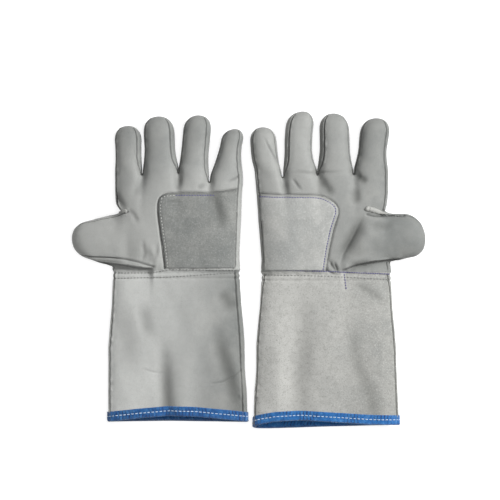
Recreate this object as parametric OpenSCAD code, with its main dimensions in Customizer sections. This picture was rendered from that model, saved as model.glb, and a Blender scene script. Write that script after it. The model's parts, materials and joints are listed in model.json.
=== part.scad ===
// A pair of insulated leather gauntlet gloves lying palm up on a flat surface.
// +X runs across the pair, +Y towards the fingertips and +Z up from the surface.
// Each glove is drawn with its thumb towards -X, and the right one is mirrored.

/* [Pair] */
// Distance between the wrist centres of the two gloves
pair_spacing = 171; // [170:1:260]
// How far the finger roots and hem sit away from the thumb's side
side_shift = 4; // [0:1:10]

/* [Hand] */
// Width at the wrist seam
wrist_w = 145; // [138:1:150]
// Width at the finger roots
knuckle_w = 152; // [150:1:156]
// Length from the wrist seam to the finger roots
palm_len = 110; // [100:1:120]
// Thickness of the hand at the wrist seam
wrist_h = 31; // [28:1:36]
// Thickness of the hand at the middle of the palm
palm_h = 36; // [32:1:42]
// Thickness of the hand at the finger roots
knuckle_h = 33; // [31:1:38]

/* [Cuff] */
// Length from the wrist seam to the right glove's hem
cuff_len = 180; // [80:1:260]
// How much shorter the left glove's cuff is
cuff_uneven = 6; // [0:1:10]
// Width of the mouth, lying flat
mouth_w = 160; // [150:1:163]
// Height of the open mouth
mouth_h = 30; // [26:1:34]
// Width of the tape that binds the hem
tape_w = 10; // [6:0.5:16]

/* [Digits] */
// Thickness of a finger at its root
finger_root_h = 30; // [27:1:31]
// Thickness of a finger near its tip
finger_tip_h = 25; // [22:1:27]
// Thickness of the thumb at its root
thumb_root_h = 32; // [28:1:34]
// Thickness of the thumb near its tip
thumb_tip_h = 26; // [22:1:30]

/* [Layers] */
// Thickness of the outer leather
leather_t = 1.4; // [1:0.1:2]
// Thickness of the insulating liner
liner_t = 3; // [2:0.1:4]
// Thickness of the suede palm patch
patch_t = 1.2; // [0.8:0.1:1.6]
// Thickness of the binding tape
tape_t = 0.8; // [0.5:0.1:1.2]

/* [Hidden] */
SIDES = ["left", "right"];
FINGERS = ["index", "middle", "ring", "little"];
HAND_PIECES = [
    "palm", "hand_back", "palm_patch", "hand_liner", "finger_webs", "thumb_gussets",
    "cuff_front", "cuff_back", "cuff_liner", "cuff_binding",
    "thumb_front", "thumb_back", "thumb_liner"
];
FINGER_PIECES = ["front", "back", "sidewalls", "liner"];

LEATHER = "silver";
BACK_LEATHER = "darkgray";
SUEDE = "gray";
FLEECE = "oldlace";
TAPE = "steelblue";

gap = 0.3;            // free space at each fold line
ply_gap = 0.15;       // free space between leather and liner
arc_step = 15;        // degrees between neighbouring points of an outline
gusset_t = 1.4;       // thickness of a gusset or finger web
fold_x = -53;         // the thumb's fold line, across the hand
thumb_low = 3;        // lower edge of the thumb's opening, from the wrist seam
thumb_high = 68;      // upper edge of the thumb's opening, from the wrist seam
wall_t = leather_t + ply_gap + liner_t;
far = 300;            // further out than any part of a glove
sidewall_arc = 15;    // half the arc of a digit's side that a sidewall takes, in degrees
patch_arc = [15, 120];   // arc of the hand that a palm patch can cover, in degrees
thumb_ease = 0.5;     // free space between the thumb's root and the ends of its opening
gusset_ease = [3, 0.8];  // how far a gusset stands in from the liner, across and in height
press = 1;            // how far the round undersides are pressed flat where they rest

// A finger: centre and half width at its root, half width at its knuckle, centre of its tip
// and length. Centres are measured across the hand from the wrist's middle.
DIGITS = [
    [[-54.5, 16, 15.5, -55, 56.5], [-17.5, 18.5, 17.5, -20.5, 67.5],
     [21, 17.5, 16.5, 25, 68], [58, 17, 14, 67.5, 52.5]],
    [[-53.5, 18, 17.5, -57.5, 65], [-11.5, 18.5, 17.5, -10, 70],
     [29, 17.5, 16.5, 27, 72], [64, 15.5, 14.5, 68, 54]]
];
// A thumb's stations: distance out from the wrist's middle, centre and half width along the
// hand. The last one is where the round tip starts.
THUMBS = [
    [[72, 33.5, 27], [98, 32.5, 23.5]],
    [[72, 39, 27], [93, 41, 25]]
];
THUMB_REACH = [119.5, 113.5];   // distance of a thumb's tip from the wrist's middle
THUMB_TIP_Y = [35, 36];         // place of a thumb's tip along the hand
// Corners of a palm patch, lower edge first. The last side runs out over the side seam.
PATCHES = [
    [[90, 0], [-11, 0], [-19, 76], [-10, 87], [90, 86]],
    [[90, 0], [2, 0], [-14, 66], [-2, 86], [90, 89]]
];

// Place of the wrist seam, halfway between the hem and the longest fingertip
wrist_y = (cuff_len - palm_len - gap - max([for (d = DIGITS[1]) d[4]])) / 2;

// ---------- outlines ----------
// A station of a flattened tube is [along, centre across, centre height, half width,
// half height, squareness, share of a layer's inset]. Its underside is pressed flat.
function power(v, p) = sign(v) * pow(abs(v), p);
function station_point(s, a, inset) =
    let (
        draw = inset * s[6],
        height = s[2] + (s[4] - draw) * power(sin(a), 2 / s[5]),
        floor_height = s[2] - s[4] + draw + press * s[6]
    )
    [s[1] + (s[3] - draw) * power(cos(a), 2 / s[5]), s[0], max(height, floor_height)];
// A closed tip draws back by the inset, in proportion to its distance from the root.
function drawn_back(s, stations, inset, closed) =
    let (root = stations[0][0], reach = stations[len(stations) - 1][0] - root)
    closed ? concat(root + (s[0] - root) * (reach - inset) / reach, [for (k = [1 : 6]) s[k]]) : s;

// ---------- building blocks ----------
// One layer of a flattened tube, from angle a0 to a1. A full turn makes a ring.
module layer(stations, inset, thick, a0 = 0, a1 = 360, closed = false) {
    turn = a1 - a0 >= 360;
    steps = round((a1 - a0) / arc_step);
    columns = turn ? steps : steps + 1;
    rows = len(stations);
    skin = rows * columns;
    points = [
        for (depth = [inset, inset + thick], s = stations, j = [0 : columns - 1])
            station_point(drawn_back(s, stations, depth, closed), a0 + (a1 - a0) * j / steps, depth)
    ];
    function next(j) = (j + 1) % columns;
    function outer(i, j) = i * columns + j;
    function inner(i, j) = skin + i * columns + j;
    last = rows - 1;
    end = columns - 1;
    polyhedron(points = points, convexity = 6, faces = concat(
        [for (i = [0 : last - 1], j = [0 : steps - 1])
            [outer(i, j), outer(i + 1, j), outer(i + 1, next(j)), outer(i, next(j))]],
        [for (i = [0 : last - 1], j = [0 : steps - 1])
            [inner(i, j), inner(i, next(j)), inner(i + 1, next(j)), inner(i + 1, j)]],
        [for (j = [0 : steps - 1])
            [outer(0, j), outer(0, next(j)), inner(0, next(j)), inner(0, j)]],
        closed ? [[for (j = [end : -1 : 0]) outer(last, j)], [for (j = [0 : end]) inner(last, j)]]
               : [for (j = [0 : steps - 1])
                    [outer(last, j), inner(last, j), inner(last, next(j)), outer(last, next(j))]],
        turn ? [] : [for (i = [0 : last - 1])
            [outer(i, 0), inner(i, 0), inner(i + 1, 0), outer(i + 1, 0)]],
        turn ? [] : [for (i = [0 : last - 1])
            [outer(i, end), outer(i + 1, end), inner(i + 1, end), inner(i, end)]],
        turn || !closed ? [] : [[outer(last, 0), inner(last, 0), inner(last, end), outer(last, end)]]
    ));
}

// A hoop around the cuff: profile holds [distance from the hem, inset] points, in order.
module hoop(k, profile) {
    columns = 360 / arc_step;
    rows = len(profile);
    points = [
        for (p = profile, j = [0 : columns - 1])
            station_point(cuff_station(cuff_length(k) - p[0]), j * arc_step, p[1])
    ];
    function at(i, j) = (i % rows) * columns + j % columns;
    polyhedron(points = points, convexity = 6, faces = [
        for (i = [0 : rows - 1], j = [0 : columns - 1])
            [at(i, j), at(i + 1, j), at(i + 1, j + 1), at(i, j + 1)]
    ]);
}

// ---------- stations ----------
function hand_station(along, across, height, width, squareness) =
    [along, across, height / 2 - press, width / 2, height / 2, squareness, 1];
hand_stations = [
    hand_station(gap, 0, wrist_h, wrist_w, 2.8),
    hand_station(palm_len * 0.3, 1, palm_h, wrist_w, 3),
    hand_station(palm_len * 0.7, side_shift * 0.8, palm_h, (wrist_w + knuckle_w) / 2, 3.4),
    hand_station(palm_len - gusset_t - gap, side_shift, knuckle_h, knuckle_w, 4)
];

// Station of the cuff at a distance below the wrist seam
function cuff_station(d) =
    let (
        f = d / cuff_len,
        height = wrist_h + (mouth_h - wrist_h) * f,
        raise = (tape_t + ply_gap) * min(1, f * 1.1)
    )
    [-d, side_shift * 0.5 * f, height / 2 - press + raise,
     (wrist_w + (mouth_w - wrist_w) * f) / 2, height / 2, 2.8, 1];
function cuff_length(k) = cuff_len - (k == 0 ? cuff_uneven : 0);
function cuff_stations(k) =
    [for (d = [cuff_length(k) - tape_t, cuff_len / 2, gap]) cuff_station(d)];

// Stations of a finger: a tapering tube, then a dome
function finger_stations(d) =
    let (
        tip_r = finger_tip_h / 2,
        straight = d[4] - d[2],
        rest = concat(
            [for (f = [0, 0.5, 1]) [
                f * straight, d[1] + (d[2] - d[1]) * f,
                (finger_root_h + (finger_tip_h - finger_root_h) * f) / 2, 1
            ]],
            [for (a = [20 : 20 : 80])
                [straight + d[2] * sin(a), d[2] * cos(a), tip_r * cos(a), cos(a)]]
        )
    )
    [for (r = rest) [
        palm_len + gap + r[0], d[0] + (d[3] - d[0]) * r[0] / d[4],
        max(r[2], tip_r) - press, r[1], r[2], 2.2, r[3]
    ]];

// Stations of a thumb, along its own length outwards from the wrist's middle
function thumb_stations(k) =
    let (
        stops = THUMBS[k],
        straight = stops[1][0],
        tip = THUMB_REACH[k] - straight,
        low = thumb_low + thumb_ease,
        high = thumb_high - thumb_ease,
        rise = thumb_tip_h / 2
    )
    concat(
        [[-fold_x + gap, (low + high) / 2, thumb_root_h / 2 - press, (high - low) / 2,
          thumb_root_h / 2, 3, 1]],
        [for (s = stops) [s[0], s[1], rise - press, s[2], rise, 2.5, 1]],
        [for (a = [20 : 20 : 80]) [
            straight + tip * sin(a), stops[1][1] + (THUMB_TIP_Y[k] - stops[1][1]) * sin(a),
            rise - press, stops[1][2] * cos(a), rise * cos(a), 2.3, cos(a)
        ]]
    );

// ---------- pieces of a glove, thumb towards -X ----------
// The part of the hand that the thumb's root takes
module thumb_notch() {
    translate([fold_x - far, thumb_low, -far / 2])
        cube([far, thumb_high - thumb_low, far]);
}

module hand_layer(inset, thick, a0, a1) {
    difference() {
        layer(hand_stations, inset, thick, a0, a1);
        thumb_notch();
    }
}

module palm() {
    color(LEATHER) hand_layer(0, leather_t, 0, 180);
}

module hand_back() {
    color(BACK_LEATHER) hand_layer(0, leather_t, 180, 360);
}

module hand_liner() {
    color(FLEECE) hand_layer(leather_t + ply_gap, liner_t, 0, 360);
}

// Suede patch over the heel of the palm, on the little finger's side
module palm_patch(k) {
    lift = patch_t + ply_gap;
    color(SUEDE) intersection() {
        layer(hand_stations, -lift, patch_t, patch_arc[0], patch_arc[1]);
        translate([0, gap, 0]) linear_extrude(far) polygon(PATCHES[k]);
    }
}

// Outline of the hand's end at the finger roots
function end_outline(inset) = [
    for (j = [0 : 360 / arc_step - 1])
        let (p = station_point(hand_stations[len(hand_stations) - 1], j * arc_step, inset))
        [p[0], p[2]]
];

// The wall between the finger roots, with a hole into each finger
module finger_webs(k) {
    color(LEATHER) translate([0, palm_len, 0]) rotate([90, 0, 0])
        linear_extrude(gusset_t) difference() {
            polygon(end_outline(0));
            for (d = DIGITS[k])
                polygon([
                    for (j = [0 : 360 / arc_step - 1])
                        let (p = station_point(finger_stations(d)[0], j * arc_step, wall_t))
                        [p[0], p[2]]
                ]);
        }
}

// Two gussets that close the hand above and below the thumb's opening
module thumb_gussets() {
    function side_stations(y) = [for (dy = [0, gusset_t]) [
        y + dy, 0, wrist_h / 2 - press / 2, wrist_w / 2 - wall_t - gusset_ease[0],
        wrist_h / 2 - wall_t - gusset_ease[1], 3, 0
    ]];
    color(LEATHER) for (y = [thumb_high + gap, thumb_low - gap - gusset_t])
        intersection() {
            hull() layer(side_stations(y), 0, 1, 90, 270);
            translate([fold_x - far, -far / 2, 0]) cube(far);
        }
}

module cuff_layer(k, inset, thick, a0, a1) {
    layer(cuff_stations(k), inset, thick, a0, a1);
}

module cuff_front(k) {
    color(LEATHER) cuff_layer(k, 0, leather_t, 0, 180);
}

module cuff_back(k) {
    color(BACK_LEATHER) cuff_layer(k, 0, leather_t, 180, 360);
}

module cuff_liner(k) {
    color(FLEECE) cuff_layer(k, leather_t + ply_gap, liner_t, 0, 360);
}

// Tape folded over the hem, outside and inside
module cuff_binding(k) {
    out = -ply_gap;
    in = wall_t + ply_gap;
    color(TAPE) hoop(k, [
        [0, out - tape_t], [tape_w, out - tape_t], [tape_w, out], [tape_t - ply_gap, out],
        [tape_t - ply_gap, in], [tape_w, in], [tape_w, in + tape_t], [0, in + tape_t]
    ]);
}

module thumb_layer(k, inset, thick, a0, a1) {
    rotate([0, 0, 90]) layer(thumb_stations(k), inset, thick, a0, a1, true);
}

module thumb_front(k) {
    color(LEATHER) thumb_layer(k, 0, leather_t, 0, 180);
}

module thumb_back(k) {
    color(BACK_LEATHER) thumb_layer(k, 0, leather_t, 180, 360);
}

module thumb_liner(k) {
    color(FLEECE) thumb_layer(k, leather_t + ply_gap, liner_t, 0, 360);
}

// A finger's panels. The outer sides of the index and little fingers have no sidewall: the
// front and back leather meet there.
module finger_piece(d, piece, thumb_wall, little_wall) {
    stations = finger_stations(d);
    from = little_wall ? sidewall_arc : 0;
    to = thumb_wall ? 180 - sidewall_arc : 180;
    if (piece == "front")
        color(LEATHER) layer(stations, 0, leather_t, from, to, true);
    if (piece == "back")
        color(BACK_LEATHER) layer(stations, 0, leather_t, 360 - to, 360 - from, true);
    if (piece == "liner")
        color(FLEECE) layer(stations, leather_t + ply_gap, liner_t, closed = true);
    if (piece == "sidewalls") color(LEATHER) {
        if (little_wall) layer(stations, 0, leather_t, -sidewall_arc, sidewall_arc, true);
        if (thumb_wall) layer(stations, 0, leather_t, to, to + 2 * sidewall_arc, true);
    }
}

// Any piece of glove k that isn't a finger's
module hand_piece(k, piece) {
    if (piece == "palm") palm();
    if (piece == "hand_back") hand_back();
    if (piece == "palm_patch") palm_patch(k);
    if (piece == "hand_liner") hand_liner();
    if (piece == "finger_webs") finger_webs(k);
    if (piece == "thumb_gussets") thumb_gussets();
    if (piece == "cuff_front") cuff_front(k);
    if (piece == "cuff_back") cuff_back(k);
    if (piece == "cuff_liner") cuff_liner(k);
    if (piece == "cuff_binding") cuff_binding(k);
    if (piece == "thumb_front") thumb_front(k);
    if (piece == "thumb_back") thumb_back(k);
    if (piece == "thumb_liner") thumb_liner(k);
}

// Puts a glove in its place in the pair, with the pair's box centred on the origin. The right
// glove is the mirror image.
module place(k) {
    centre = (THUMB_REACH[0] - THUMB_REACH[1]) / 2;
    if (k == 0) translate([centre - pair_spacing / 2, wrist_y, 0]) children();
    else translate([centre + pair_spacing / 2, wrist_y, 0]) mirror([1, 0, 0]) children();
}

for (k = [0 : 1]) {
    for (piece = HAND_PIECES)
        place(k) hand_piece(k, piece);
    for (i = [0 : 3], piece = FINGER_PIECES)
        place(k) finger_piece(DIGITS[k][i], piece, i > 0, i < 3);
}
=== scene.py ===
"""Looks for a pair of insulated leather gauntlets lying palm up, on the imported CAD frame.

Each glove is worked out in millimetres in its own axes: u across the hand with the thumb
towards -u, v from the wrist seam towards the fingertips, and z up from the surface it lies
on. One quad mesh per glove is lofted, puffed out as cloth, subdivided and creased. Then it
is cut into its leather panels, and the lining, patch, tape and thread are fitted to it.
"""

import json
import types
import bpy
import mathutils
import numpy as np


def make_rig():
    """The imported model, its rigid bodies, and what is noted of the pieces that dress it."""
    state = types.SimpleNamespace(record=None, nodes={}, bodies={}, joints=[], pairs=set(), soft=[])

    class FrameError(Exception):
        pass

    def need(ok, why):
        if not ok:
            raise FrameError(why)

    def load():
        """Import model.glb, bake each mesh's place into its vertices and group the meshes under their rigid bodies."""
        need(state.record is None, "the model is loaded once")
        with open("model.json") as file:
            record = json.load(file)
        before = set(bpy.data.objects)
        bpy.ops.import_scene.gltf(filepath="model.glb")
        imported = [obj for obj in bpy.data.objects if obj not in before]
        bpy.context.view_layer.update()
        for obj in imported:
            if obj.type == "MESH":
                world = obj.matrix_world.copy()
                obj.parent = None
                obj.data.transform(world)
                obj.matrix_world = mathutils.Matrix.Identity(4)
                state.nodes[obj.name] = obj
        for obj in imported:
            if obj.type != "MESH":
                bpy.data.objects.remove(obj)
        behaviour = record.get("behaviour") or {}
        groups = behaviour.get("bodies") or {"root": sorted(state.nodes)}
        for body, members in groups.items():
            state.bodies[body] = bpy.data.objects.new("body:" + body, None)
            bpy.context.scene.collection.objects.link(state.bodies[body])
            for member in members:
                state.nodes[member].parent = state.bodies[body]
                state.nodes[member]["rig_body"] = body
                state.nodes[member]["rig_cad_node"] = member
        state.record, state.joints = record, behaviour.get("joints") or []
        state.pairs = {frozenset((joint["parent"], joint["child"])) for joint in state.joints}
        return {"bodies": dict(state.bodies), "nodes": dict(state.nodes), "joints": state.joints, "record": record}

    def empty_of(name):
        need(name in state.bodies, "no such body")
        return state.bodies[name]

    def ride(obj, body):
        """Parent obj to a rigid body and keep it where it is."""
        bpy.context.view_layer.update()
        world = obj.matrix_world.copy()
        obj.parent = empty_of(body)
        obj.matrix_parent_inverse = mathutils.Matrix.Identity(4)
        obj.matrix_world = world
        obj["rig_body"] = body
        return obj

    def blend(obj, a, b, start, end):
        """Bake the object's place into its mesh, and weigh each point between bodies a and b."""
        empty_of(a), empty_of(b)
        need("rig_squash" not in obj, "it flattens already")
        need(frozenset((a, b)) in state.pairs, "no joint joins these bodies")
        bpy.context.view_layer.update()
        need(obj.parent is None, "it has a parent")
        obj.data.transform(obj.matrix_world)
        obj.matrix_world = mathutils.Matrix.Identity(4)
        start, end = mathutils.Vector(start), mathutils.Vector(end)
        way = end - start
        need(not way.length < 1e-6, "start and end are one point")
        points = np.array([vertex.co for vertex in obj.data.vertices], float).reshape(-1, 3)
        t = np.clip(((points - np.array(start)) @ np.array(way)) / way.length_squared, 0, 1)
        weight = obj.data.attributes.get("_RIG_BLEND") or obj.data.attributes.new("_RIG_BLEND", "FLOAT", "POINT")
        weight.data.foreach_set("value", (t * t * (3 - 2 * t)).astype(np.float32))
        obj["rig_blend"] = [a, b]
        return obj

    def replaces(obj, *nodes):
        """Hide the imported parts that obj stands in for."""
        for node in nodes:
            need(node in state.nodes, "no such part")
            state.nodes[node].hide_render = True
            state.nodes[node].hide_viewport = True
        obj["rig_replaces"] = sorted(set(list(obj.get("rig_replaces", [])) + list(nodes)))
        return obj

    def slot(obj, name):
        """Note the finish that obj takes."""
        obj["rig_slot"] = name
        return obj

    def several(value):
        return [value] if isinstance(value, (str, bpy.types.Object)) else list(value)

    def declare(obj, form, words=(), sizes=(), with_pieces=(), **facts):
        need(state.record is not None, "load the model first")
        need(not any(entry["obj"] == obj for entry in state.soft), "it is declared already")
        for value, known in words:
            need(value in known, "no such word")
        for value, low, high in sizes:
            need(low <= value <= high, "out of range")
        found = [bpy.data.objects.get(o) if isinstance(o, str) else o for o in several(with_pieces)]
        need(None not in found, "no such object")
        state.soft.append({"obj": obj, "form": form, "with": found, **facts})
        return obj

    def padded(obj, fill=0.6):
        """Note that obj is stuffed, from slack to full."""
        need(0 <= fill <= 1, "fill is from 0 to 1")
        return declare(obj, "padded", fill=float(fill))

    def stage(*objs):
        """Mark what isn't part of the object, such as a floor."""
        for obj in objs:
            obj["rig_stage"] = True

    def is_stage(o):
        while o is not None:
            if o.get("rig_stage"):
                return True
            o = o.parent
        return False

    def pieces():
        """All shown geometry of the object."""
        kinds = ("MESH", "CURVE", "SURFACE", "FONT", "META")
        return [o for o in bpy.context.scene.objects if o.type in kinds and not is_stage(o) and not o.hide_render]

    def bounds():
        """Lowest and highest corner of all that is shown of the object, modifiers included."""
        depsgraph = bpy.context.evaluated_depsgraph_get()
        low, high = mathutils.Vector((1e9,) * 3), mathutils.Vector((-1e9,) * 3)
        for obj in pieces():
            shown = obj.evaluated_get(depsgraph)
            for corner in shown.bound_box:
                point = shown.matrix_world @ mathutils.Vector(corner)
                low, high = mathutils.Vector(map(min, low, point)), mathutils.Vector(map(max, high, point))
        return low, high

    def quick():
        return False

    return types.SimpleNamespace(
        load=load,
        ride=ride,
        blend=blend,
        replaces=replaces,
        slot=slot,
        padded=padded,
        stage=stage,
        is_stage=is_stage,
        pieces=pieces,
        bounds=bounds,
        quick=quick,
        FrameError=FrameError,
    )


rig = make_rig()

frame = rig.load()
CAD_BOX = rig.bounds()

import json
import math

import bpy
import numpy as np
from mathutils import Vector
from mathutils.bvhtree import BVHTree

MM = 0.001
FINGERS = ("index", "middle", "ring", "little")
PARTS = ("hand", "cuff", "thumb") + FINGERS
PANELS = ("front", "back", "sides")
JOINTS = {joint["name"]: joint for joint in frame["joints"]}

# Quads across the front of each finger, through the thickness, and their usual length
FRONT_CELLS = (8, 9, 9, 8)
SIDE_CELLS = 6
CELL = 4.2
THUMB_COLUMN = 4          # column of the palm where the thumb's front begins
TIP_TURNS = np.radians([22, 41, 57])    # where the rings of a round tip stand

# Insets of the fingers' seams from their edges, so that each side strip shows on one side only
HIDDEN_SEAM = 1.5
SHOWN_SEAM = 5.0
THUMB_SEAM_INSETS = (4, 2)

# Half height of a digit at its root and at its tip, and how far its middle lies above that
FINGER_HALF = (14.6, 12.6)
FINGER_MIDDLE = 12.8      # least height of a finger's middle, before its lift
FINGER_LIFT = 0.4
THUMB_HALF = (15.2, 13)
THUMB_LIFT = (0.6, 2.0)

# How square the outlines of digits are: 2 is an ellipse
FINGER_SQUARE = 2.35
THUMB_SQUARE = 2.4

WRIST_SEAM = 0.55         # weight of the wrist's seam, beside a side seam's 1
TAPE_HEIGHT = 10.5
LINER_DEPTH = 2.0
DIGIT_LINER = 1.7         # how many times deeper the lining lies in the digits
SEWN_IN = 2.4             # a patch's stitches from its edge
PATCH_THICK = 1.5
FLOOR_GAP = 0.05          # how far above the floor the lowest points stay
BEND_HEIGHT = 15

# Edges are (v, u) points and hems are (u, v) points. crotches are the (u, v) points between
# the fingers, and root_ends is v at the ends of the line of finger roots. tips are (u, v) of
# each finger's tip, its half width and how far its middle bows towards +u. insets are those
# of the hand's side seams, by the thumb and by the little finger, and cuff_insets the cuff's.
# lie is how far the glove lies from the CAD's. The thumb's opening lies between thumb_rows of
# quads, which are at thumb_v. thumb is (u, v, half width) at its middle and near its tip.
# hem is v of the cuff's last section.
SHAPES = {
    "left": {
        "thumb_edge": [(-174, -78.2), (-90, -78.3), (0, -72.4), (5, -72), (66, -61), (70, -67),
                       (76, -69.8), (95, -70.5), (109, -70.7)],
        "little_edge": [(-174, 82), (-90, 78.4), (0, 72.4), (82, 74.7), (104, 77)],
        "crotches": [(-38.9, 108.5), (2.6, 110.6), (37.8, 99.5)],
        "root_ends": (109, 103),
        "tips": [(-55.8, 164.4, 15.1, 0), (-20.2, 176.4, 17.5, 0), (25.4, 177, 15.9, -0.6),
                 (66.9, 161.2, 12.6, -0.6)],
        "insets": (HIDDEN_SEAM, SHOWN_SEAM), "cuff_insets": (HIDDEN_SEAM, SHOWN_SEAM),
        "lie": (-0.3, 2.2), "hem": -173,
        "hem_front": [(-77, -172.6), (-45, -169), (-10, -166), (20, -166.6), (55, -170),
                      (81, -172.8)],
        "hem_back": [(-77, -173.6), (-10, -172.8), (81, -174)],
        "thumb_rows": (1, 16), "thumb_v": (4.5, 66),
        "thumb": [(-72, 35, 27.5), (-98, 33.9, 22.8)], "thumb_tip": (-120.2, 35.6),
    },
    "right": {
        "thumb_edge": [(-179, -83.6), (-90, -80.4), (0, -74), (12, -73), (69, -67.5), (76, -70),
                       (90, -71.5), (112, -71.8)],
        "little_edge": [(-179, 83.4), (-90, 79.8), (0, 73.5), (70, 78), (112, 82)],
        "crotches": [(-31.4, 111.6), (10.1, 110.5), (50, 108)],
        "root_ends": (112, 110),
        "tips": [(-58, 176, 16.4, 0.3), (-9.2, 182, 17.2, 0), (27.6, 183.8, 15.9, 3),
                 (72.4, 166, 14.8, 2)],
        "insets": (3.4, 2.4), "cuff_insets": (HIDDEN_SEAM, HIDDEN_SEAM * 0.6),
        "lie": (-0.3, -0.4), "hem": -179,
        "hem_front": [(-83, -174.2), (-50, -173.4), (-15, -171), (30, -168.4), (60, -170),
                      (83, -174)],
        "hem_back": [(-83, -174.6), (-40, -175.8), (0, -176.8), (41, -178.2), (83, -179.4)],
        "thumb_rows": (3, 17), "thumb_v": (12, 69),
        "thumb": [(-72, 40.2, 26.6), (-94, 41.2, 25.4)], "thumb_tip": (-114.6, 37.5),
    },
}


# Half height and squareness of a glove's section, as (v, value) points
HALF_HEIGHTS = [(-180, 13), (-90, 14), (0, 14.5), (30, 17), (75, 17.5), (110, 15.5)]
SQUARES = [(-180, 2.7), (0, 2.6), (60, 2.8), (110, 3.2)]


# ---------- small helpers ----------
def smooth(x):
    """0 below 0, 1 above 1 and an S curve between."""
    x = np.clip(x, 0, 1)
    return x * x * (3 - 2 * x)


def unit(vectors):
    """The same directions at length 1."""
    return vectors / np.maximum(np.linalg.norm(vectors, axis=-1, keepdims=True), 1e-12)


def travelled(points):
    """How far along a broken line each of its points is."""
    return np.concatenate([[0], np.cumsum(np.linalg.norm(np.diff(points, axis=0), axis=1))])


def sampled(values, run, at):
    """Values kept at the points of a broken line, read at other distances along it."""
    return np.stack([np.interp(at, run, column) for column in values.T], -1)


def between(points, at):
    """The value at a place along an outline of (place, value) points."""
    return np.interp(at, [p[0] for p in points], [p[1] for p in points])


def superellipse(half_w, half_h, square, start, end, count):
    """count + 1 points at equal steps along a superellipse, between two angles in degrees."""
    a = np.radians(np.linspace(start, end, 121))
    c, s = np.cos(a), np.sin(a)
    outline = np.stack([half_w * np.sign(c) * np.abs(c) ** (2 / square),
                        half_h * np.sign(s) * np.abs(s) ** (2 / square)], 1)
    run = travelled(outline)
    return sampled(outline, run, np.linspace(0, run[-1], count + 1))


def seam_angle(half_w, square, inset):
    """Angle of the superellipse point that lies an inset in from its end."""
    share = max(0.0, 1 - inset / half_w)
    return math.degrees(math.acos(share ** (square / 2)))


def tube_ring(half_w, half_h, square, inset_low, inset_high, across, through):
    """Closed ring of (x, z): front from the low end to the high one, side, back, side."""
    low = seam_angle(half_w, square, inset_low)
    high = seam_angle(half_w, square, inset_high)
    arcs = [
        superellipse(half_w, half_h, square, 180 - low, high, across),
        superellipse(half_w, half_h, square, high, -high, through),
        superellipse(half_w, half_h, square, -high, low - 180, across),
        superellipse(half_w, half_h, square, low - 180, -low - 180, through),
    ]
    return np.concatenate([arc[:-1] for arc in arcs])


def waves(points, length, seed, count=14):
    """Smooth noise of about +-1 at each point: a sum of waves of about one wavelength."""
    chance = np.random.default_rng(seed)
    total = np.zeros(len(points))
    for _ in range(count):
        way = unit(chance.normal(size=3))
        total += np.sin(points @ way * (2 * math.pi / (length * chance.uniform(0.7, 1.6)))
                        + chance.uniform(0, 2 * math.pi))
    return total / math.sqrt(count / 2) / 1.6


def line_distance(points, line):
    """Distance of each (u, v) point from a broken line, and how far along it that is, 0 to 1."""
    line = np.array(line, float)
    steps, starts = np.diff(line, axis=0), travelled(line)
    lengths = np.linalg.norm(steps, axis=1)
    best = np.full(len(points), 1e9)
    along = np.zeros(len(points))
    for start, step, length, run in zip(line, steps, lengths, starts):
        t = np.clip((points - start) @ step / length ** 2, 0, 1)
        away = np.hypot(*(points - start - t[:, None] * step).T)
        near = away < best
        best[near] = away[near]
        along[near] = (run + t * length)[near]
    return best, along / starts[-1]


def fine_line(line, step=1.0):
    """A broken (u, v) line resampled at short steps, with its corners eased."""
    line = np.array(line, float)
    run = travelled(line)
    fine = sampled(line, run, np.linspace(0, run[-1], max(4, int(run[-1] / step))))
    for _ in range(6):
        fine[1:-1] = (fine[:-2] + 2 * fine[1:-1] + fine[2:]) / 4
    return fine


def shifted(line, distance):
    """A fine (u, v) line moved sideways, to the right of its own direction."""
    step = unit(np.gradient(line, axis=0))
    return line + np.stack([step[:, 1], -step[:, 0]], 1) * distance


def stretched(left, right, low, high):
    """A grid of points spanned between four border lines that share their corners."""
    s = np.linspace(0, 1, len(low))[None, :, None]
    t = np.linspace(0, 1, len(left))[:, None, None]
    return ((1 - t) * low[None] + t * high[None] + (1 - s) * left[:, None] + s * right[:, None]
            - (1 - s) * (1 - t) * low[0] - s * (1 - t) * low[-1]
            - (1 - s) * t * high[0] - s * t * high[-1])


# ---------- one glove's quad mesh ----------
class Quads:
    """Quad grids that share their border points, with a part and panel for each face."""

    def __init__(self):
        self.points, self.seams, self.faces, self.tags = [], [], [], []

    def grid(self, points, tag, ring=False, seams=None, keep=None):
        """Adds a grid of points, and a quad with its tag for each cell that is kept."""
        rows, cols = points.shape[:2]
        base = len(self.points)
        self.points.extend(points.reshape(-1, 3))
        self.seams.extend(np.zeros(rows * cols) if seams is None else seams.reshape(-1))
        for r in range(rows - 1):
            for c in range(cols if ring else cols - 1):
                if keep is not None and not keep(r, c):
                    continue
                d = (c + 1) % cols
                corners = ((r, c), (r, d), (r + 1, d), (r + 1, c))
                self.faces.append([base + i * cols + j for i, j in corners])
                self.tags.append(tag(r, c))

    def merged(self):
        """Points, seam weights, faces and tags, with the points that coincide made one."""
        points = np.array(self.points)
        off_the_halves = 0.000213
        _, first, where = np.unique(np.round(points + off_the_halves, 3), axis=0,
                                    return_index=True, return_inverse=True)
        where = where.reshape(-1)
        seams = np.zeros(len(first))
        np.maximum.at(seams, where, np.array(self.seams))
        return points[first], seams, where[np.array(self.faces)], np.array(self.tags)


def tag_of(part, panel):
    return PARTS.index(part) * 10 + PANELS.index(panel)


def tube_tags(part, front):
    """Tags of a tube whose first columns are its front, and the others its back."""
    return lambda row, column: tag_of(part, "front" if column < front else "back")


def cap_tags(part, through):
    """Tags of a cap whose first rows belong to the front, and the others to the back."""
    return lambda row, column: tag_of(part, "front" if row < through // 2 else "back")


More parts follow.
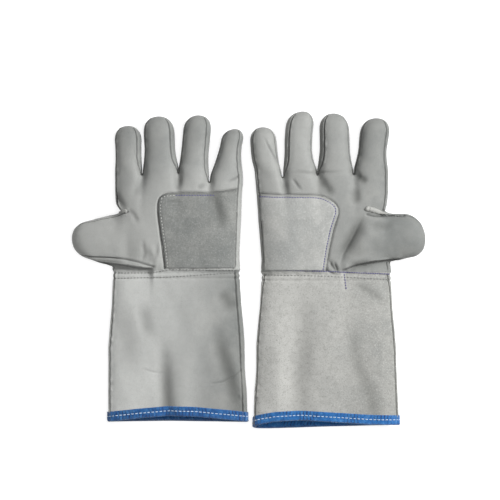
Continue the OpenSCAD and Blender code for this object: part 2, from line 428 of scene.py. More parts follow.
def saddle(top, bottom):
    """Points from the front to the back between two fingers, bowed towards the wrist."""
    steps = np.arange(1, SIDE_CELLS)[:, None] / SIDE_CELLS
    line = top + (bottom - top) * steps
    line[:, 1] -= 1.5 * np.sin(np.pi * steps[:, 0])
    return line


class Glove:
    """Sizes and placing of one glove, and its lofted mesh."""

    def __init__(self, side):
        self.side = side
        self.sign = 1 if side == "left" else -1
        self.shape = SHAPES[side]
        fold = JOINTS[f"{side}_cuff_fold"]["pos_m"]
        self.origin = np.array([fold[0], fold[1], 0]) / MM + [*self.shape["lie"], 0]
        self.front = sum(FRONT_CELLS)
        self.ring = 2 * self.front + 2 * SIDE_CELLS
        self.thumb_back = self.ring - SIDE_CELLS - THUMB_COLUMN
        self.root_rows = self.shape["thumb_rows"][1] + 10

    def world(self, points):
        """Glove millimetres to metres in the frame."""
        return (np.asarray(points) * [self.sign, 1, 1] + self.origin) * MM

    # ----- the hand and cuff -----
    def edges(self, v):
        """Thumb side, the same without the thumb's notch, and little finger side."""
        edge = self.shape["thumb_edge"]
        plain = [edge[0], edge[1], edge[2], edge[-1]]
        return between(edge, v), between(plain, v), between(self.shape["little_edge"], v)

    def thickness(self, v):
        """Half height and squareness of the section at v."""
        nearby = v + np.linspace(-14, 14, 9)
        return between(HALF_HEIGHTS, nearby).mean(), between(SQUARES, nearby).mean()

    def hem_at(self, u, z):
        """v of the hem at each point of its ring: the front and back edges differ a little."""
        half = self.thickness(self.shape["hem"])[0]
        front, back = (fine_line(self.shape[name], 2) for name in ("hem_front", "hem_back"))
        share = smooth(z / (2 * half))
        return (share * np.interp(u, front[:, 0], front[:, 1])
                + (1 - share) * np.interp(u, back[:, 0], back[:, 1]))

    def root_line(self):
        """(u, v) corners of the finger roots, from the thumb side to the little finger side."""
        shape = self.shape
        left, right = shape["thumb_edge"][-1][1], shape["little_edge"][-1][1]
        ends = shape["root_ends"]
        near, far = shape["insets"]
        return [(left + near, ends[0]), *shape["crotches"], (right - far, ends[1])]

    def insets_at(self, v):
        """How far in the side seams run at v: down the cuff they can draw nearer its edges."""
        share = smooth((-v - 2) / 24)
        return [(1 - share) * hand + share * cuff
                for hand, cuff in zip(self.shape["insets"], self.shape["cuff_insets"])]

    def section(self, v):
        """The closed ring of the hand or cuff at v, as (u, z)."""
        edge, plain, far_edge = self.edges(v)
        half, square = self.thickness(v)
        centre, half_w = (plain + far_edge) / 2, (far_edge - plain) / 2
        near, far = self.insets_at(v)
        corners = [p[0] for p in self.root_line()]
        share = np.concatenate([
            np.linspace(a, b, n, endpoint=False)
            for a, b, n in zip(corners, corners[1:], FRONT_CELLS)] + [[corners[-1]]])
        share = (share - share[0]) / (share[-1] - share[0])
        u = plain + near + share * (far_edge - far - plain - near)
        u[:THUMB_COLUMN] = np.linspace(edge + near, u[THUMB_COLUMN], THUMB_COLUMN,
                                       endpoint=False)
        away = np.clip(np.abs((u - centre) / half_w), 0, 0.995)
        rise = half * (1 - away ** square) ** (1 / square)
        turn = np.pi * np.arange(1, SIDE_CELLS) / SIDE_CELLS
        far_side = np.stack([u[-1] + far * np.sin(turn), half + rise[-1] * np.cos(turn)], 1)
        near_side = np.stack([u[0] - near * np.sin(turn), half - rise[0] * np.cos(turn)], 1)
        front = np.stack([u, half + rise], 1)
        back = np.stack([u, half - rise], 1)[::-1]
        return np.concatenate([front, far_side, back, near_side])

    def crotch_dips(self):
        """How much lower each front column is at the finger roots than the palm's own section."""
        root = self.section(self.shape["root_ends"][0])[: self.front + 1]
        dips = np.zeros(self.front + 1)
        starts = np.concatenate([[0], np.cumsum(FRONT_CELLS)])
        half = self.thickness(self.shape["root_ends"][0])[0]
        for i, (a, b) in enumerate(zip(starts, starts[1:])):
            x = np.linspace(-1, 1, b - a + 1)
            if i == 0:
                x = np.maximum(x, 0)
            if i == len(FINGERS) - 1:
                x = np.minimum(x, 0)
            bump = (1 - np.abs(x) ** 2.4) ** (1 / 2.4)
            dip = (root[a: b + 1, 1] - half * 1.25) * (1 - bump)
            dips[a: b + 1] = np.maximum(dips[a: b + 1], dip)
        return dips

    def hand_points(self):
        """Rows of ring points from the wrist seam to the finger roots."""
        shape, rows = self.shape, self.root_rows
        (low, high), (v_low, v_high) = shape["thumb_rows"], shape["thumb_v"]
        corners = self.root_line()
        root_u = self.section(shape["root_ends"][0])[: self.front + 1, 0]
        root_v = np.interp(root_u, [p[0] for p in corners], [p[1] for p in corners])
        side = np.ones(SIDE_CELLS - 1)
        ring_v = np.concatenate([root_v, side * root_v[-1], root_v[::-1], side * root_v[0]])
        dips = self.crotch_dips()
        points = np.zeros((rows + 1, self.ring, 3))
        for r in range(rows + 1):
            if r <= low:
                v = np.full(self.ring, v_low * r / low)
            elif r <= high:
                v = np.full(self.ring, v_low + (v_high - v_low) * (r - low) / (high - low))
            else:
                v = v_high + (ring_v - v_high) * (r - high) / (rows - high)
            section = self.section(v.mean())
            fade = np.exp(-(root_v.mean() - v.mean()) / 13) * smooth((v.mean() - 20) / 40)
            section[: self.front + 1, 1] -= dips * fade
            back = slice(self.front + SIDE_CELLS, 2 * self.front + SIDE_CELLS + 1)
            section[back, 1] += dips[::-1] * fade
            points[r] = np.stack([section[:, 0], v, section[:, 1]], 1)
        return points

    def cuff_points(self):
        """Rows of ring points from the hem to the wrist seam."""
        shape = self.shape
        rows = round(-shape["hem"] / CELL)
        points = np.zeros((rows + 1, self.ring, 3))
        for r in range(rows + 1):
            along = 1 - r / rows
            section = self.section(shape["hem"] * along)
            hem = self.hem_at(section[:, 0], section[:, 1])
            points[r] = np.stack([section[:, 0], hem * along, section[:, 1]], 1)
        return points

    # ----- tubes -----
    def ring_stops(self, root, end, tip):
        """Where a tube's rings stand on its axis, and how far each shrinks in the round tip."""
        rows = round(abs(end - root) / CELL)
        straight = [(root + (end - root) * (k + 1) / rows, 1.0) for k in range(rows)]
        return straight + [(end + (tip - end) * math.sin(a), math.cos(a)) for a in TIP_TURNS]

    def finger_points(self, i, root):
        """Rings of a finger from its root ring to its tip, along v."""
        tip_u, tip_v, half_w, bow = self.shape["tips"][i]
        across = FRONT_CELLS[i]
        root_u, root_v = root[:, 0].mean(), root[:, 1].mean()
        root_half = np.ptp(root[:, 0]) / 2
        dome = tip_v - half_w * 0.95
        insets = [HIDDEN_SEAM, SHOWN_SEAM]
        if i == 0:
            insets = [self.shape["insets"][0], SHOWN_SEAM if self.side == "left" else HIDDEN_SEAM]
        if i == len(FINGERS) - 1:
            insets = [HIDDEN_SEAM, self.shape["insets"][1]]
        taper = 42 if i == len(FINGERS) - 1 else 30
        root_h, tip_h = FINGER_HALF
        points = [root]
        for v, shrink in self.ring_stops(root_v, dome, tip_v):
            far = (v - root_v) / (tip_v - root_v)
            full_w = root_half + (half_w - root_half) * smooth((v - root_v) / taper)
            full_h = root_h + (tip_h - root_h) * far
            ring = tube_ring(full_w * shrink, full_h * shrink, FINGER_SQUARE,
                             insets[0] * shrink, insets[1] * shrink, across, SIDE_CELLS)
            centre = root_u + (tip_u - root_u) * far + bow * 4 * far * (1 - far)
            ring = ring + [centre, max(full_h, FINGER_MIDDLE) + FINGER_LIFT]
            mix = smooth((v - root_v) / 16)
            flat = root[:, [0, 2]] * (1 - mix) + ring * mix
            lag = (root[:, 1] - root_v) * (1 - smooth((v - root_v) / 34))
            points.append(np.stack([flat[:, 0], v + lag, flat[:, 1]], 1))
        high = FINGER_MIDDLE + FINGER_LIFT
        return np.array(points), (tip_u, high, half_w, tip_h, dome, tip_v - dome)

    def thumb_points(self, root, along, through):
        """Rings of the thumb from its root ring to its tip, along -u."""
        shape = self.shape
        (u_mid, v_mid, half_mid), (u_end, v_end, half_end) = shape["thumb"]
        tip_u, tip_v = shape["thumb_tip"]
        root_u = root[:, 0].max()
        reach = tip_u - u_end
        (root_h, tip_h), (root_lift, tip_lift) = THUMB_HALF, THUMB_LIFT
        points = [root]
        for u, shrink in self.ring_stops(root_u, u_end, tip_u):
            far = np.clip((root_u - u) / (root_u - u_end), 0, 1)
            half_w = between([(-u_end, half_end), (-u_mid, half_mid)][::-1], -u)
            centre = between([(-u_end, v_end), (-u_mid, v_mid)][::-1], -u)
            if shrink < 1:
                centre = v_end + (tip_v - v_end) * (u - u_end) / reach
            half_h = root_h + (tip_h - root_h) * far
            insets = [inset * shrink for inset in THUMB_SEAM_INSETS]
            ring = tube_ring(half_w * shrink, half_h * shrink, THUMB_SQUARE, *insets, along,
                             through)
            ring = ring + [centre, half_h + root_lift + (tip_lift - root_lift) * far]
            mix = smooth((root_u - u) / 17)
            flat = root[:, [1, 2]] * (1 - mix) + ring * mix
            place = np.full(len(root), u)
            if shrink == 1:
                place = root[:, 0] + (u_end - root[:, 0]) * far
            points.append(np.stack([place, flat[:, 0], flat[:, 1]], 1))
        return np.array(points), (tip_v, tip_h + tip_lift, half_end, tip_h, u_end, reach)

    def cap(self, ring, across, through, tip, along_axis):
        """A grid that closes a tube's last ring, domed out along its axis.

        tip is the tube's middle across and up, its half width and half height there, where
        the tip starts along the axis and how far it reaches."""
        front = ring[: across + 1]
        far_side = ring[across: across + through + 1]
        back = ring[across + through: 2 * across + through + 1][::-1]
        near_side = np.concatenate([ring[2 * across + through:], ring[:1]])[::-1]
        grid = stretched(near_side, far_side, front, back)
        other, high, half_w, half_h, start, reach = tip
        across_axis = 1 - along_axis
        away = np.hypot((grid[..., across_axis] - other) / half_w, (grid[..., 2] - high) / half_h)
        inner = grid[1:-1, 1:-1]
        inner[..., along_axis] = start + reach * np.sqrt(np.clip(1 - away[1:-1, 1:-1] ** 2, 0, 1))
        return grid

    # ----- everything together -----
    def side_seams(self, rows):
        """Seam weights of rows of the hand or cuff: 1 on the four side seams, 0 elsewhere."""
        weight = np.zeros((rows, self.ring))
        weight[:, [0, self.front, self.front + SIDE_CELLS, self.ring - SIDE_CELLS]] = 1
        return weight

    def add_cuff(self, quads):
        points = self.cuff_points()
        weight = self.side_seams(len(points))
        weight[-1] = WRIST_SEAM
        quads.grid(points, tube_tags("cuff", self.front), ring=True, seams=weight)

    def add_hand(self, quads):
        """The hand, with an opening for the thumb in its side. Gives back its points."""
        points = self.hand_points()
        low, high = self.shape["thumb_rows"]
        weight = self.side_seams(len(points))
        weight[0] = WRIST_SEAM
        weight[low + 1: high, :THUMB_COLUMN + 1] = 0
        weight[high, self.ring - SIDE_CELLS:] = 1

        def keep(row, column):
            in_notch = column < THUMB_COLUMN or column >= self.thumb_back
            return not (low <= row < high and in_notch)

        quads.grid(points, tube_tags("hand", self.front), ring=True, seams=weight, keep=keep)
        return points

    def add_finger(self, quads, last, i):
        """A finger that grows out of its stretch of the hand's last ring."""
        name, across = FINGERS[i], FRONT_CELLS[i]
        a = sum(FRONT_CELLS[:i])
        back_start = self.front + SIDE_CELLS
        back_end = back_start + self.front - a
        fronts = last[a: a + across + 1]
        backs = last[back_end - across: back_end + 1]
        far_side, near_side = last[self.front + 1: back_start], last[self.ring - SIDE_CELLS + 1:]
        if i < len(FINGERS) - 1:
            far_side = saddle(fronts[-1], backs[0])
        if i > 0:
            near_side = saddle(fronts[0], backs[-1])[::-1]
        root = np.concatenate([fronts, far_side, backs, near_side])
        points, tip = self.finger_points(i, root)
        seams = [0, across, across + SIDE_CELLS, 2 * across + SIDE_CELLS]
        weight = np.zeros(points.shape[:2])
        weight[:, seams] = 1

        def tag(row, column):
            passed = sum(column >= seam for seam in seams[1:])
            return tag_of(name, ("front", "sides", "back", "sides")[passed])

        quads.grid(points, tag, ring=True, seams=weight)
        quads.grid(self.cap(points[-1], across, SIDE_CELLS, tip, 1), cap_tags(name, SIDE_CELLS))

    def add_thumb(self, quads, hand):
        """The thumb. Its root ring goes up the palm, over the notch, down the back and round."""
        low, high = self.shape["thumb_rows"]
        top = [*range(THUMB_COLUMN, -1, -1), *range(self.ring - 1, self.thumb_back - 1, -1)]
        root = np.concatenate([
            hand[low: high + 1, THUMB_COLUMN],
            hand[high, top[1:-1]],
            hand[low: high + 1, self.thumb_back][::-1],
            hand[low, top[::-1][1:-1]],
        ])
        along, through = high - low, len(top) - 1
        points, tip = self.thumb_points(root, along, through)
        weight = np.zeros(points.shape[:2])
        weight[:, [along, along + through, 2 * along + through]] = 1
        quads.grid(points, tube_tags("thumb", along), ring=True, seams=weight)
        quads.grid(self.cap(points[-1], along, through, tip, 0), cap_tags("thumb", through))

    def loft(self):
        """The whole glove as one set of quads."""
        quads = Quads()
        self.add_cuff(quads)
        hand = self.add_hand(quads)
        for i in range(len(FINGERS)):
            self.add_finger(quads, hand[-1], i)
        self.add_thumb(quads, hand)
        return quads.merged()


# ---------- surfaces ----------
CLOTH_UNIT = 0.01         # size of a glove millimetre while it is cloth
CLOTH_FRAMES = 20
MOST_PUFF = 2.4           # how far a point may move, and how much less it may on a seam
SEAM_HOLD = 1.2


def new_object(name, points, faces):
    mesh = bpy.data.meshes.new(name)
    mesh.from_pydata(np.asarray(points).tolist(), [], [list(map(int, f)) for f in faces])
    mesh.update()
    obj = bpy.data.objects.new(name, mesh)
    bpy.context.scene.collection.objects.link(obj)
    return obj


def store(mesh, name, kind, domain, values):
    """Keeps a value for each point or face of a mesh."""
    field = "vector" if kind == "FLOAT_VECTOR" else "value"
    mesh.attributes.new(name, kind, domain).data.foreach_set(field, values.reshape(-1))


def point_normals(points, faces):
    """Area-weighted normal of each point of a quad mesh."""
    a, b, c, d = (points[faces[:, i]] for i in range(4))
    across = np.cross(c - a, d - b)
    total = np.zeros_like(points)
    for i in range(4):
        np.add.at(total, faces[:, i], across)
    return unit(total)


class Skin:
    """A glove's outer surface in glove millimetres, with what each point and face belongs to."""

    def __init__(self, points, seams, faces, tags):
        self.points, self.seams, self.faces, self.tags = points, seams, faces, tags
        # painted shade of each point, which darkens the leather's colour
        self.painted_shades = np.zeros(len(points))
        self.tree = None

    def normals(self):
        return point_normals(self.points, self.faces)

    def subdivided(self):
        """The same surface with one more level of subdivision."""
        obj = new_object("skin", self.points, self.faces)
        store(obj.data, "seam", "FLOAT", "POINT", self.seams)
        store(obj.data, "tag", "INT", "FACE", self.tags)
        modifier = obj.modifiers.new("finer", "SUBSURF")
        modifier.levels = 1
        modifier.boundary_smooth = "PRESERVE_CORNERS"
        graph = bpy.context.evaluated_depsgraph_get()
        mesh = obj.evaluated_get(graph).to_mesh()
        count = len(mesh.vertices)
        points = np.zeros(count * 3)
        mesh.vertices.foreach_get("co", points)
        faces = np.zeros(len(mesh.loops), int)
        mesh.loops.foreach_get("vertex_index", faces)
        seams, tags = np.zeros(count), np.zeros(len(mesh.polygons), int)
        mesh.attributes["seam"].data.foreach_get("value", seams)
        mesh.attributes["tag"].data.foreach_get("value", tags)
        bpy.data.objects.remove(obj)
        return Skin(points.reshape(-1, 3), seams, faces.reshape(-1, 4), tags)

    def puff(self):
        """Blows the skin up as cloth held at its hem, and keeps a limited part of the movement."""
        scene = bpy.context.scene
        obj = new_object("cloth", self.points * CLOTH_UNIT, self.faces)
        uses = np.bincount(self.faces.reshape(-1), minlength=len(self.points))
        held = (uses < 4) & (self.points[:, 1] < -100)
        obj.vertex_groups.new(name="hold").add(np.flatnonzero(held).tolist(), 1.0, "REPLACE")
        modifier = obj.modifiers.new("cloth", "CLOTH")
        settings = modifier.settings
        settings.vertex_group_mass = "hold"
        settings.use_pressure = True
        settings.uniform_pressure_force = 4
        settings.effector_weights.gravity = 0
        settings.quality = 6
        settings.tension_stiffness = settings.compression_stiffness = 25
        settings.bending_stiffness = 0.6
        modifier.collision_settings.use_collision = False
        modifier.point_cache.frame_end = CLOTH_FRAMES
        for number in range(1, CLOTH_FRAMES + 1):
            scene.frame_set(number)
        mesh = obj.evaluated_get(bpy.context.evaluated_depsgraph_get()).to_mesh()
        blown = np.zeros(len(self.points) * 3)
        mesh.vertices.foreach_get("co", blown)
        bpy.data.objects.remove(obj)
        scene.frame_set(1)
        move = blown.reshape(-1, 3) / CLOTH_UNIT - self.points
        length = np.linalg.norm(move, axis=1)
        most = MOST_PUFF - SEAM_HOLD * self.seams
        share = most * np.tanh(length / 30) / np.maximum(length, 1e-9)
        self.points = self.points + move * share[:, None] * [0.2, 0.2, 1]

    def settle(self):
        """Keeps the surface on or above what it lies on, and readies it for ray casts."""
        low = 0.25
        z = self.points[:, 2]
        self.points[:, 2] = np.where(z < low + 1, low + np.exp(z - low - 1), z)
        self.tree = BVHTree.FromPolygons(self.points.tolist(), self.faces.tolist())

    def hit(self, origin, way):
        """Where a ray meets the surface: point and outward normal."""
        place, normal, _, _ = self.tree.ray_cast(Vector(origin), Vector(way))
        if place is None:
            place, normal, _, _ = self.tree.find_nearest(Vector(origin))
        return np.array(place), np.array(normal)

    def hits(self, rays):
        """Points and normals where rays meet the surface, each given as its origin and way."""
        found = [self.hit(*ray) for ray in rays]
        return np.array([f[0] for f in found]), np.array([f[1] for f in found])

    def below(self, line):
        """Points and normals of the surface straight below (u, v) points."""
        return self.hits([((u, v, 80), (0, 0, -1)) for u, v in line])

    def shade_at(self, places):
        """How much painted shade the surface carries near each place: in its folds, under the thumb's edge and on its
        turned-away sides.
        """
        near = [self.tree.find_nearest(Vector(place))[2] for place in places]
        return self.painted_shades[self.faces[near]].mean(axis=1)


# ---------- folds and seams ----------
# Soft folds of each glove's upper side: (u, v) line, depth and half width in millimetres.
# A negative depth is a raised fold.
FOLDS = {
    "left": [
        ([(37.8, 99), (44, 84), (50, 62), (52, 40)], 2.6, 6.5),
        ([(22, 93), (36, 97)], 1.2, 2.4),
        ([(-40, 108), (-44, 92), (-50, 80)], 1.1, 4),
        ([(-76, 98), (-66, 80), (-56, 64)], 1.8, 4),
        ([(3, 110), (2, 98), (-2, 88)], 1.4, 4),
        ([(-57, 70), (-48, 62), (-42, 50)], 1.0, 3),
        ([(-30, 30), (-25, 16), (-30, 3)], -1.4, 4),
        ([(-38, 36), (-36, 18), (-40, 5)], 0.8, 2.4),
        ([(-16, 34), (-19, 16), (-27, 0)], -2.2, 3.5),
        ([(-15, -70), (-12, -130), (-8, -235)], 3.4, 7.5),
        ([(12, -80), (8, -130), (6, -235)], -2.0, 11),
        ([(40, -50), (52, -95), (64, -139), (72, -185)], 2.6, 8),
        ([(60, -80), (72, -130), (76, -170)], -1.4, 6),
        ([(49, -22), (57, -36), (66, -50)], 2.2, 8),
        ([(33, -130), (55, -128), (68, -120), (82, -108)], 1.0, 0.9),
        ([(-42, -112), (-20, -118), (-8, -118)], 0.5, 0.9),
        ([(-14, 77.6), (-3, 77.4), (9, 76.6)], 0.7, 0.9),
        ([(-60, -30), (-55, -80), (-58, -130)], 1.2, 14),
        ([(15, -20), (18, -60), (10, -100)], -1.6, 15),
        ([(-40, -36), (-36, -60), (-30, -84)], 1.3, 8),
        ([(56, 99), (66, 103), (76, 109)], 1.0, 1.2),
        ([(-100, 12), (-78, 9), (-56, 7)], 1.0, 3),
    ],
    "right": [
        ([(-43, 68), (-40, 60), (-29, 38.5), (-19.5, 21.5), (-14, 5)], 3.4, 6.5),
        ([(-43, 68), (-40, 60), (-29, 38.5), (-19.5, 21.5), (-13, 0)], 1.6, 1.8),
        ([(-56, 60), (-46, 40), (-32, 16)], -2.2, 8),
        ([(-2, 13), (-7, 5), (-13, -2)], 2.0, 1.4),
        ([(-8, 13), (-11, 6), (-14, -3)], 1.8, 1.2),
        ([(4, 4), (-4, 0), (-13, -4)], 1.6, 1.3),
        ([(-44, 52), (-70, 52), (-78, 49)], 1.4, 5),
        ([(10, 110), (2, 98), (-9, 85)], 2.4, 5),
        ([(-30, 112), (-39, 106), (-48, 102)], 2.4, 4),
        ([(-31, 98), (-33, 84), (-31, 74)], 1.8, 5),
        ([(40, 108), (33, 98), (27, 91)], 1.2, 1.6),
        ([(72.5, 156), (66, 143), (57, 128.5), (51, 117)], 1.1, 1.2),
        ([(50, 112), (34, 114), (10, 113), (-12, 114), (-28, 116)], 0.8, 1.6),
        ([(50, 108), (46, 92), (44, 80)], 1.6, 4),
        ([(-20, 6), (-34, 8), (-56, 10)], 2.2, 4),
        ([(-14, 2), (-6, 8), (-2, 16)], 1.2, 2.5),
        ([(34, 10), (24, -60), (30, -120), (26, -235)], 1.7, 12),
        ([(-22, -30), (-32, -100), (-52, -150), (-56, -235)], 1.5, 8),
        ([(52, 0), (54, -80), (56, -235)], -1.6, 13),
        ([(-2, -10), (-6, -100), (-10, -235)], -1.2, 14),
        ([(-26, -12), (-50, -24), (-72, -40)], 1.1, 4),
    ],
}


def press_fold(skin, normals, line, depth, width):
    """Pushes a soft fold into the upper side along a line, and paints shade into the leather along a sunken fold."""
    away, along = line_distance(skin.points[:, :2], line)
    ends = smooth(along / 0.4) * smooth((1 - along) / 0.4)
    upper = smooth(normals[:, 2] / 0.5) * (skin.points[:, 2] > 12)
    shape = np.exp(-(away / width) ** 2) * ends * upper
    skin.points -= normals * (depth * shape)[:, None]
    # a sunken fold also gets painted shade in the leather's colour
    if depth > 0:
        skin.painted_shades = np.maximum(skin.painted_shades, shape * min(1, depth / 3.5 * (1 + 1.5 / width)))


def pucker(skin, normals):
    """Seam grooves with small gathers beside them, and the slow unevenness of soft leather."""
    points = skin.points
    groove = skin.seams ** 5
    rolled = skin.seams ** 2 * (1 - skin.seams) * 6.75
    gathers = waves(points, 7, 5) * skin.seams * (1 - skin.seams) * 4
    uneven = waves(points * [1, 0.6, 0.4], 46, 11)
    small = waves(points, 17, 12)
    skin.points = points + normals * (-1.2 * groove + 0.35 * rolled + 0.3 * gathers
                                      + 0.5 * uneven + 0.14 * small)[:, None]


def wrist_step(skin, normals):
    """The palm's leather laps over the cuff at the wrist seam; the rows of sewing pull it in."""
    v = skin.points[:, 1]
    sewn = np.exp(-((v + 4) / 1.3) ** 2) + np.exp(-((v + 10) / 1.3) ** 2)
    lap = smooth((v + 1.6) / 1.2) * (1 - smooth((v - 3) / 12))
    along = waves(skin.points * [1, 0.2, 1], 9, 31)
    skin.points += normals * (0.9 * lap - (0.7 + 0.25 * along) * sewn)[:, None]


PATCHES = {
    "left": {
        "inner": [(-11.5, 1.5), (-15, 30), (-19.5, 62), (-20, 72), (-18.6, 82)],
        "top": [(-18.6, 82), (-13, 85.6), (-1, 86.6), (44, 86.6), (58, 88.8), (69, 90.6)],
        "outer": [(66.2, 1.5), (67.2, 40), (69, 90.6)],
    },
    "right": {
        "inner": [(1.6, 1.5), (-2, 26), (-7, 49), (-12.7, 66), (-12.5, 73)],
        "top": [(-12.5, 73), (-7.5, 79), (3.5, 85), (14, 86.4), (60, 87), (75.6, 88)],
        "outer": [(70.2, 1.5), (72.6, 40), (75.6, 88)],
    },
}

# Where the thumb's lower edge stands over the palm and wrist: (u, v) line, drop below it
LEDGES = {
    "left": ([(-112, 12), (-104, 11), (-72, 7), (-39, 1.8), (-25, 1.6)], 6.5),
    "right": ([(-92, 17), (-70, 14), (-54.5, 12), (-33, 8), (-16.4, 1)], 6.0),
}
# The seam of the thumb's front beside that edge
THUMB_SEAMS = {
    "left": [[(-109, 15.7), (-97, 13.4), (-77.5, 12.8), (-58, 11.4), (-43.5, 8.4), (-25.2, 2.4)]],
    "right": [[(-88, 64), (-70, 64), (-55, 63), (-46, 65)]],
}


def paint_rim_shade(skin, normals):
    """Painted shade: darkens the leather where the fingers and the thumb's tip turn away from the top, as their sides
    fall into shade.
    """
    turned = smooth((0.98 - normals[:, 2]) / 0.65) * (normals[:, 2] > -0.2)
    painted_shade_weight = np.maximum(smooth((skin.points[:, 1] - 104) / 14),
                         smooth((-skin.points[:, 0] - 82) / 10))
    # painted shade on the turned-away sides, kept with the rest of the painted shade
    skin.painted_shades = np.maximum(skin.painted_shades, 0.35 * turned * painted_shade_weight)


def press_ledge(skin, normals, line, drop):
    """Lowers the leather on the wrist's side of a line, as if it ran in under the thumb, and paints shadow there."""
    points = skin.points
    away, _ = line_distance(points[:, :2], line)
    edge_v = between(line, points[:, 0])
    under = points[:, 1] < edge_v
    inside = smooth((points[:, 0] - line[0][0] - 4) / 8) * smooth((line[-1][0] - points[:, 0]) / 6)
    upper = smooth(normals[:, 2] / 0.4) * (points[:, 2] > 10) * inside
    low = np.where(under, smooth(away / 1.6 + 0.35) * np.exp(-np.maximum(away - 2, 0) / 9), 0)
    high = np.where(under, 0, np.exp(-(away / 7) ** 2))
    skin.points[:, 2] += upper * (0.28 * drop * high - drop * low)
    # painted shadow under the thumb's edge, and a dark line along the edge itself
    shade = np.where(under, np.exp(-away / 3), np.exp(-(away / 0.9) ** 2)) * upper
    skin.painted_shades = np.maximum(skin.painted_shades, shade)


def press_seam(skin, normals, line, depth=1.3, width=1.1):
    """A narrow stitched groove along a line of the upper side; its seam weight darkens the leather, partly as a dark
    joint and partly as painted shade in the groove.
    """
    away, _ = line_distance(skin.points[:, :2], line)
    upper = smooth(normals[:, 2] / 0.2) * (skin.points[:, 2] > 10)
    shape = np.exp(-(away / width) ** 2) * upper
    skin.points -= normals * (depth * shape)[:, None]
    skin.seams = np.maximum(skin.seams, shape)


def shape_skin(skin, side):
    """All the relief of the leather, from its seams to its folds, and the painted shade in them and on the turned-away
    sides.
    """
    pucker(skin, skin.normals())
    normals = skin.normals()
    for line, depth, width in FOLDS[side]:
        press_fold(skin, normals, line, depth, width)
    normals = skin.normals()
    paint_rim_shade(skin, normals)
    wrist_step(skin, normals)
    press_ledge(skin, normals, *LEDGES[side])
    for line in THUMB_SEAMS[side]:
        press_seam(skin, normals, line, 1.9, 1.3)
    # a groove just outside the patch's edge, whose seam weight paints shade beside the raised edge
    outline = fine_line(PATCHES[side]["inner"] + PATCHES[side]["top"][1:], 3)
    press_seam(skin, normals, shifted(outline, -1.2), 1.6, 1.1)
    skin.settle()


def make_skin(glove):
    """The glove's finished outer surface, and the coarser one that its lining follows."""
    lining = Skin(*glove.loft())
    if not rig.quick():
        lining.puff()
    lining = lining.subdivided()
    skin = lining.subdivided()
    shape_skin(skin, glove.side)
    shape_skin(lining, glove.side)
    return skin, lining


# ---------- materials ----------
class Nodes:
    """Short ways to add and link shader nodes."""

    def __init__(self, name):
        self.material = bpy.data.materials.new(name)
        self.material.use_nodes = True
        self.tree = self.material.node_tree
        self.shader = self.tree.nodes["Principled BSDF"]

    def add(self, kind, links=None, **values):
        node = self.tree.nodes.new(kind)
        for key, value in values.items():
            setattr(node, key, value)
        for key, value in (links or {}).items():
            self.put(node.inputs[key], value)
        return node

    def put(self, socket, value):
        if isinstance(value, bpy.types.NodeSocket):
            self.tree.links.new(value, socket)
        else:
            socket.default_value = value

    def attribute(self, name, output="Fac"):
        return self.add("ShaderNodeAttribute", attribute_name=name).outputs[output]

    def noise(self, place, scale, detail=3.0, rough=0.5):
        links = {"Vector": place, "Scale": scale, "Detail": detail, "Roughness": rough}
        return self.add("ShaderNodeTexNoise", links).outputs["Fac"]

    def cells(self, place, scale, feature="F1"):
        node = self.add("ShaderNodeTexVoronoi", {"Vector": place, "Scale": scale}, feature=feature)
        return node.outputs["Distance"]

    def ramp(self, value, low, high, out_low=0.0, out_high=1.0):
        links = {"Value": value, "From Min": low, "From Max": high, "To Min": out_low,
                 "To Max": out_high}
        return self.add("ShaderNodeMapRange", links).outputs["Result"]

    def math(self, operation, a, b=0.0):
        return self.add("ShaderNodeMath", {0: a, 1: b}, operation=operation).outputs[0]

    def weave(self):
        """How far along a tape or thread a point is, and how far round it."""
        place = self.attribute("weave", "Vector")
        return self.add("ShaderNodeSeparateXYZ", {"Vector": place}).outputs[:2]

    def slant(self, along, across):
        """A wave that runs at a slant over a weave, from its pace in each direction."""
        x, y = self.weave()
        phase = self.math("ADD", self.math("MULTIPLY", x, along), self.math("MULTIPLY", y, across))
        return self.math("SINE", phase)

    def mix(self, share, a, b):
        node = self.add("ShaderNodeMix", {0: share, 6: a, 7: b}, data_type="RGBA")
        return node.outputs[2]

    def bump(self, height, distance, strength=1.0):
        links = {"Height": height, "Distance": distance, "Strength": strength}
        normal = self.add("ShaderNodeBump", links).outputs["Normal"]
        self.put(self.shader.inputs["Normal"], normal)

    def finish(self, colour, rough, sheen=0.0, specular=0.4):
        inputs = self.shader.inputs
        self.put(inputs["Base Color"], colour)
        self.put(inputs["Roughness"], rough)
        inputs["Specular IOR Level"].default_value = specular
        inputs["Sheen Weight"].default_value = sheen
        inputs["Sheen Roughness"].default_value = 0.5
        return self.material


def grey(value, warm=0.0):
    """A faintly green grey from its sRGB value, 0 to 255, a little warmer or cooler."""
    linear = [((value + shift) / 255) ** 2.2 for shift in (warm + 0.6, 1.6, -warm - 0.8)]
    return (*linear, 1.0)


